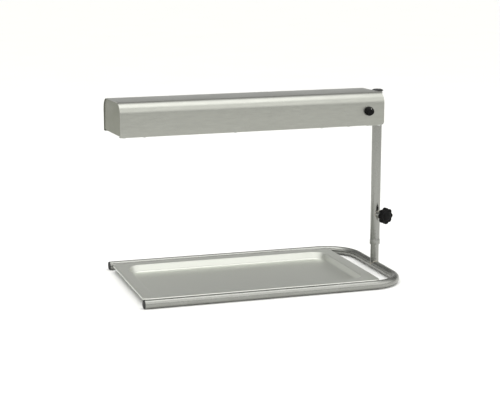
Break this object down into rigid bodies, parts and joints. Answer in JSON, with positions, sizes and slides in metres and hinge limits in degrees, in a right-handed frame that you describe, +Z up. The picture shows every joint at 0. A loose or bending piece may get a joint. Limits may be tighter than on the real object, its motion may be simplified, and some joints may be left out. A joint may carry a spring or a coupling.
{
  "type": "heat lamp warmer",
  "caption": "Countertop heat lamp warmer: shallow steel tray in a bent tube base, with a long lamp hood carried over it by one clamped telescopic post.",
  "frame": {"origin": "centre of the bounding box's footprint, on the counter", "axes": "+X along the base towards the post, -Y the front with the regulator knob, +Z up"},
  "size_m": [0.6498, 0.367, 0.4155],
  "materials": {
    "frame_steel": "semi-polished stainless tube, fine lengthwise grain",
    "satin_steel": "satin stainless sheet, brushed along its length",
    "tray_steel": "pressed stainless sheet, satin floor and brighter walls",
    "bright_steel": "bright plated fasteners and stud",
    "zinc_plate": "zinc plated sheet steel",
    "polished_aluminium": "polished reflector sheet",
    "guard_chrome": "welded wire, bright",
    "quartz": "clear quartz glass",
    "tungsten": "coiled tungsten wire, dull",
    "ceramic": "steatite ceramic, lightly glazed",
    "black_plastic": "moulded black phenolic, satin",
    "phenolic": "dark grey moulded housing",
    "terminal_plastic": "off-white terminal plastic",
    "brass": "turned brass",
    "lead_sleeve": "glass-fibre sleeved heat-proof lead",
    "grommet_rubber": "black rubber",
    "gland_plastic": "black nylon"
  },
  "bodies": {
    "base": {"base_frame": "frame_steel", "front_plug": "black_plastic", "rear_plug": "black_plastic", "inner_post": "frame_steel", "post_plug": "black_plastic"},
    "tray": {"tray": "tray_steel"},
    "guide": {"guide_collar": "frame_steel"},
    "head": {"post_sleeve": "frame_steel", "sleeve_cap": "black_plastic", "clamp_boss": "frame_steel", "post_bracket": "satin_steel", "bracket_bolts": "bright_steel", "bracket_nuts": "bright_steel", "hood_shell": "satin_steel", "hood_end_left": "satin_steel", "hood_end_right": "satin_steel", "end_screws": "bright_steel", "partition": "zinc_plate", "wiring_cover": "satin_steel", "cover_screws": "bright_steel", "reflector": "polished_aluminium", "reflector_screws": "bright_steel", "wire_guard": "guard_chrome", "quartz_tubes": "quartz", "lamp_caps": "ceramic", "filaments": "tungsten", "lamp_holders": "ceramic", "holder_brackets": "zinc_plate", "holder_screws": "bright_steel", "regulator_body": "phenolic", "regulator_nut": "bright_steel", "terminal_block": "terminal_plastic", "terminal_screws": "brass", "earth_stud": "brass", "lamp_leads": "lead_sleeve", "lead_grommets": "grommet_rubber", "gland_body": "gland_plastic", "gland_nut": "gland_plastic", "gland_cap": "gland_plastic"},
    "clamp_tip": {"clamp_pad": "brass"},
    "clamp_screw": {"clamp_stud": "bright_steel", "clamp_knob": "black_plastic"},
    "regulator": {"regulator_shaft": "bright_steel", "regulator_knob": "black_plastic"}
  },
  "joints": [
    {"name": "height", "type": "slide", "parent": "base", "child": "guide", "axis": [0, 0, 1], "range_m": [-0.035, 0.15]},
    {"name": "swing", "type": "hinge", "parent": "guide", "child": "head", "pos_m": [0.29374, 0, 0.2], "axis": [0, 0, 1], "range_deg": [-95, 85]},
    {"name": "clamp_travel", "type": "slide", "parent": "head", "child": "clamp_tip", "axis": [0.342, -0.9397, 0], "range_m": [0, 0.0013]},
    {"name": "clamp_turn", "type": "hinge", "parent": "clamp_tip", "child": "clamp_screw", "pos_m": [0.30229, -0.02349, 0.129], "axis": [0.342, -0.9397, 0], "range_deg": [0, 360]},
    {"name": "regulator_turn", "type": "hinge", "parent": "head", "child": "regulator", "pos_m": [0.24373, -0.07772, 0.375], "axis": [0.0523, -0.9986, 0], "range_deg": [-270, 0]},
    {"name": "tray_lift", "type": "slide", "parent": "base", "child": "tray", "axis": [0, 0, 1], "range_m": [0, 0.12]}
  ],
  "couplings": [
    {"joint": "clamp_travel", "follows": "clamp_turn", "m_per_rad": 0.00019894}
  ]
}
